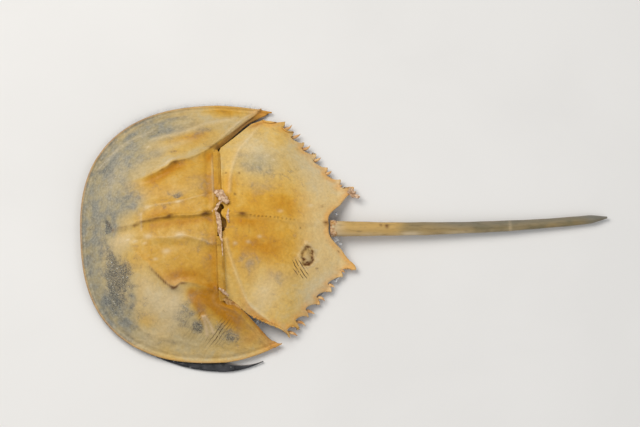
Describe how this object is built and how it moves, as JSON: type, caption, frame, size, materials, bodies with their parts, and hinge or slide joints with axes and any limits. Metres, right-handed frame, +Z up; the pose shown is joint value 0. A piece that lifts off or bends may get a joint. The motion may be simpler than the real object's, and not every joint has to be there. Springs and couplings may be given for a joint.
{
  "type": "horseshoe crab shell",
  "caption": "Cast shell of a horseshoe crab: a broad horseshoe dome, a hinged rear shield with toothed edges and a long tail spine, lying flat.",
  "frame": {"origin": "middle of the bottom of the bounding box, on the surface that the shell lies on", "axes": "+X from the head towards the tip of the tail spine, +Y towards the animal's right side, +Z up"},
  "size_m": [0.1686, 0.0874, 0.0222],
  "materials": {
    "front_cuticle": "dry amber chitin, semi-gloss, mottled grey towards the rim",
    "rear_cuticle": "dry tan and orange chitin, satin",
    "tail_cuticle": "dry olive and tan chitin, satin",
    "film": "thin grey cuticle film, glossy",
    "membrane": "dry wrinkled membrane, dull",
    "limb": "thin amber chitin, satin",
    "gill": "papery brown membrane, dull",
    "spine": "hard orange chitin, satin",
    "hair": "fine pale bristles and fluff"
  },
  "bodies": {
    "root": {"carapace": "front_cuticle", "ventral_rim": "film", "hinge_membrane": "membrane", "ventral_membrane": "membrane", "chelicera_right": "limb", "chelicera_left": "limb", "pedipalp_right": "limb", "pedipalp_left": "limb", "walking_leg_1_right": "limb", "walking_leg_1_left": "limb", "walking_leg_2_right": "limb", "walking_leg_2_left": "limb", "walking_leg_3_right": "limb", "walking_leg_3_left": "limb", "pusher_leg_right": "limb", "pusher_leg_left": "limb", "opisthosoma": "rear_cuticle", "telson_membrane": "membrane", "telson": "tail_cuticle", "genital_operculum": "gill", "gill_flap_1": "gill", "gill_flap_2": "gill", "gill_flap_3": "gill", "gill_flap_4": "gill", "gill_flap_5": "gill", "chilarium_right": "limb", "chilarium_left": "limb", "movable_spine_right_1": "spine", "movable_spine_right_2": "spine", "movable_spine_right_3": "spine", "movable_spine_right_4": "spine", "movable_spine_right_5": "spine", "movable_spine_right_6": "spine", "movable_spine_left_1": "spine", "movable_spine_left_2": "spine", "movable_spine_left_3": "spine", "movable_spine_left_4": "spine", "movable_spine_left_5": "spine", "movable_spine_left_6": "spine"}
  },
  "joints": []
}
